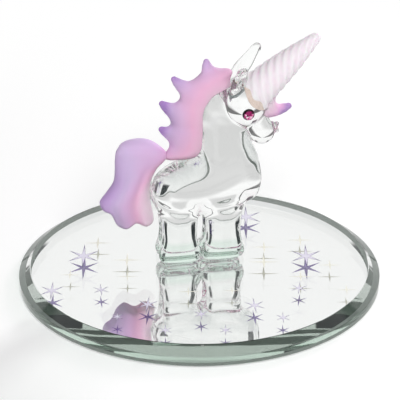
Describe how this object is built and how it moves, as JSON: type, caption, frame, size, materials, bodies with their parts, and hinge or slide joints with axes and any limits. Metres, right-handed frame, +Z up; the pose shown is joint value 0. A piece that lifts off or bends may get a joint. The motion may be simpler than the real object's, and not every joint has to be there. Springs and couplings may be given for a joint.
{
  "type": "unicorn figurine",
  "caption": "Lampworked clear glass unicorn with frosted pink and lilac mane, tail and horn, on a round bevelled mirror",
  "frame": {"origin": "middle of the underside of the round mirror, on the surface that it lies on", "axes": "+Z up; +X to the side that the unicorn faces; +Y away from the side that shows it in profile"},
  "size_m": [0.1016, 0.1016, 0.0694],
  "materials": {
    "mirror_glass": "polished, faint green at the edge",
    "silver": "silvered",
    "paint": "sprayed backing paint, satin",
    "adhesive": "clear cured adhesive",
    "clear_glass": "fire polished",
    "frosted_white": "acid frosted, satin",
    "frosted_lilac": "acid frosted, satin, pink running to purple",
    "crystal": "faceted, foil backed"
  },
  "bodies": {
    "root": {"backing_paint": "paint", "ear_left": "clear_glass", "ear_right": "clear_glass", "eye_cement_left": "adhesive", "eye_cement_right": "adhesive", "eye_crystal_left": "crystal", "eye_crystal_right": "crystal", "fore_leg_left": "clear_glass", "fore_leg_right": "clear_glass", "forelock": "frosted_lilac", "head": "clear_glass", "hind_leg_left": "clear_glass", "hind_leg_right": "clear_glass", "hoof_adhesive": "adhesive", "horn": "frosted_white", "mane": "frosted_lilac", "mirror_plate": "mirror_glass", "mirror_silvering": "silver", "muzzle": "clear_glass", "neck": "clear_glass", "tail": "frosted_lilac", "torso": "clear_glass"}
  },
  "joints": []
}
